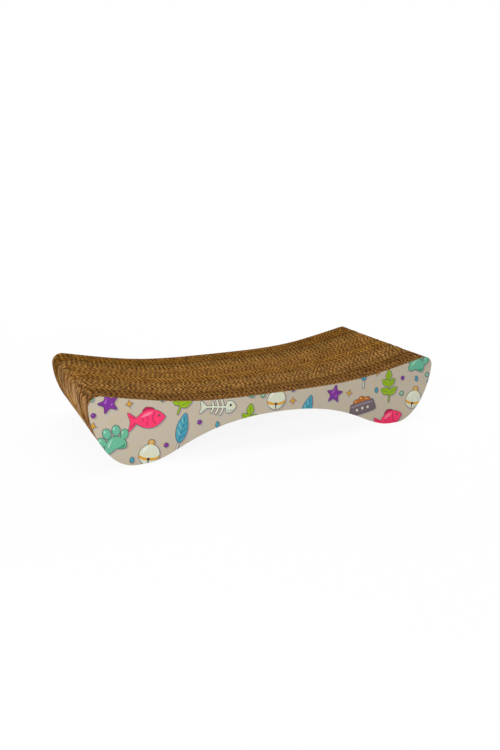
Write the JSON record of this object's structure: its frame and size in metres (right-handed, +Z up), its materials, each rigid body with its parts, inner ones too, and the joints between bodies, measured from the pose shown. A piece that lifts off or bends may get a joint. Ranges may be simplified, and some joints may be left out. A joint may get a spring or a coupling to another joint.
{
  "type": "cardboard cat scratcher",
  "caption": "Low wave-shaped cat scratcher lounge of glued corrugated boards on edge, with a hollow seat, an arch underneath and printed sides.",
  "frame": {"origin": "on the floor, under the middle of the lounge", "axes": "+X along the lounge, +Y from the printed front towards the back, across the boards, +Z up"},
  "size_m": [0.56, 0.2492, 0.105],
  "materials": {
    "kraft_board": "matt raw corrugated board, flute mouths showing",
    "printed_card": "matt printed card"
  },
  "bodies": {
    "root": {"board_01": "kraft_board", "board_02": "kraft_board", "board_03": "kraft_board", "board_04": "kraft_board", "board_05": "kraft_board", "board_06": "kraft_board", "board_07": "kraft_board", "board_08": "kraft_board", "board_09": "kraft_board", "board_10": "kraft_board", "board_11": "kraft_board", "board_12": "kraft_board", "board_13": "kraft_board", "board_14": "kraft_board", "board_15": "kraft_board", "board_16": "kraft_board", "board_17": "kraft_board", "board_18": "kraft_board", "board_19": "kraft_board", "board_20": "kraft_board", "board_21": "kraft_board", "board_22": "kraft_board", "board_23": "kraft_board", "board_24": "kraft_board", "board_25": "kraft_board", "board_26": "kraft_board", "board_27": "kraft_board", "board_28": "kraft_board", "board_29": "kraft_board", "board_30": "kraft_board", "board_31": "kraft_board", "board_32": "kraft_board", "board_33": "kraft_board", "board_34": "kraft_board", "board_35": "kraft_board", "board_36": "kraft_board", "printed_face_front": "printed_card", "printed_face_back": "printed_card"}
  },
  "joints": []
}
